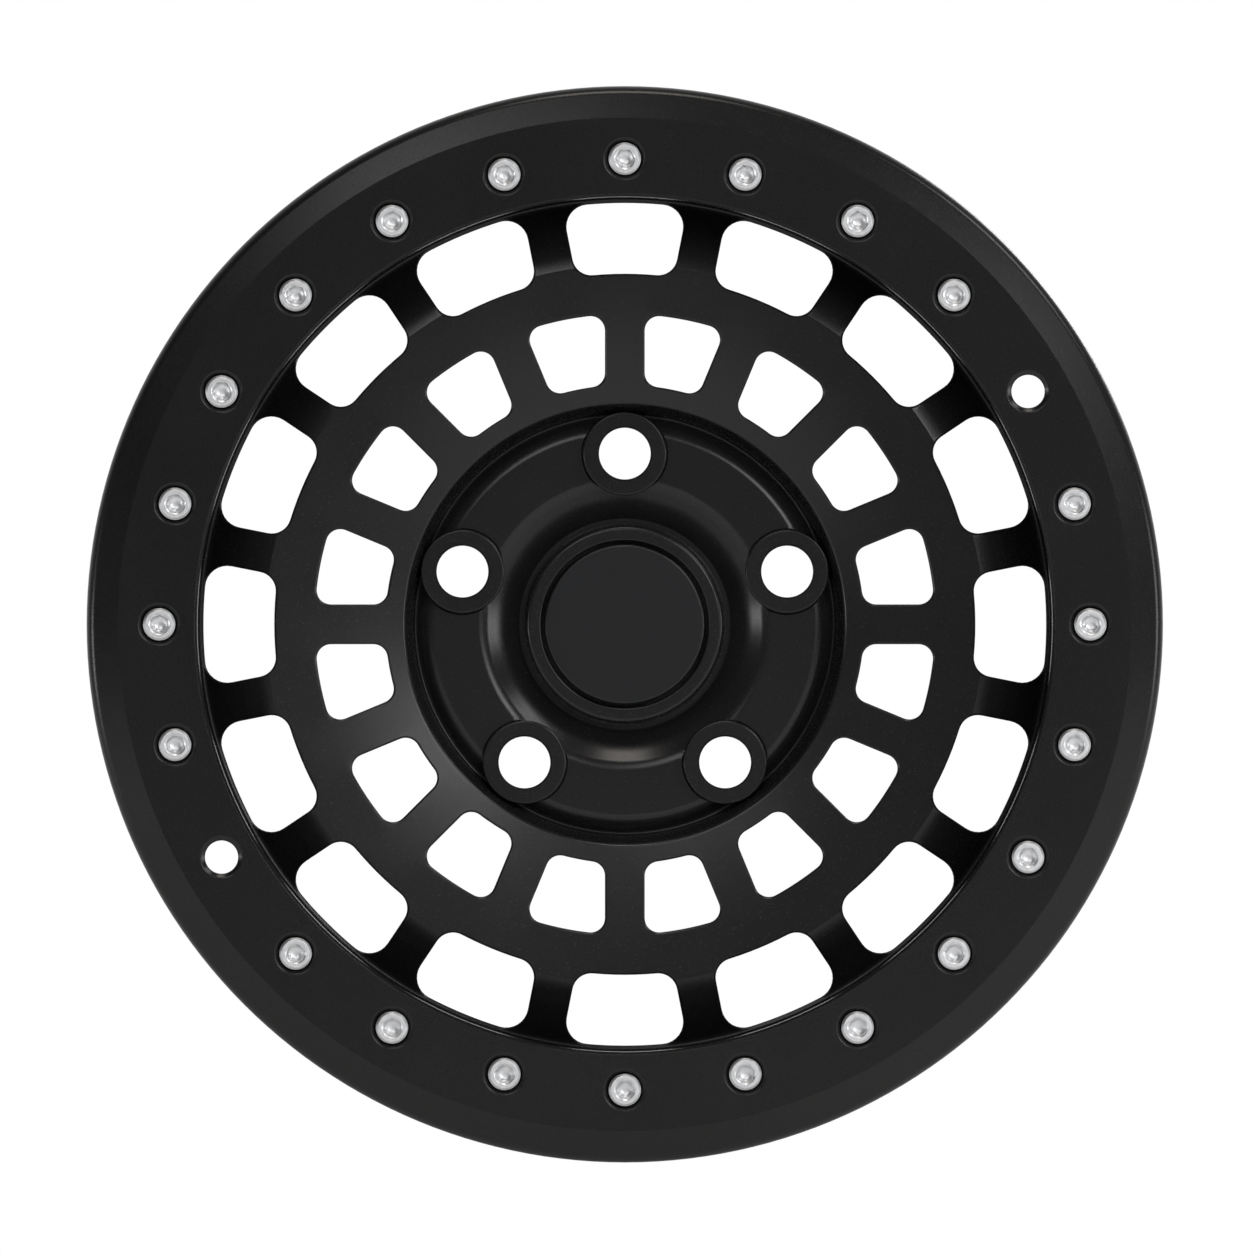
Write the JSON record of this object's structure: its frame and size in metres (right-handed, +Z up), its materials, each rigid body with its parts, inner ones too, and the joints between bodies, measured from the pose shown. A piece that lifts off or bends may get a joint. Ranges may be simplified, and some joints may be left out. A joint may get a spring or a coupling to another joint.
{
  "type": "beadlock wheel",
  "caption": "Off-road road wheel with a bolted beadlock ring, two rows of windows in a concave disc, raised lug pads and a snap-in centre cap.",
  "frame": {"origin": "centre of the lug circle on the face that bolts to the vehicle's hub, on the wheel's axis", "axes": "+Z up, the wheel spins about Y, its back faces +Y and its front faces -Y, one lug hole at the top"},
  "size_m": [0.4729, 0.245, 0.473],
  "materials": {
    "wheel_paint": "satin black powder coat on aluminium",
    "ring_paint": "satin black powder coat on aluminium",
    "bolt_steel": "bright zinc plated",
    "insert_steel": "plain stainless",
    "cap_plastic": "fine-grained black",
    "spring_wire": "drawn spring wire"
  },
  "bodies": {
    "root": {"wheel": "wheel_paint", "beadlock_ring": "ring_paint", "ring_bolts": "bolt_steel", "thread_inserts": "insert_steel", "centre_cap": "cap_plastic", "cap_spring_ring": "spring_wire"}
  },
  "joints": []
}
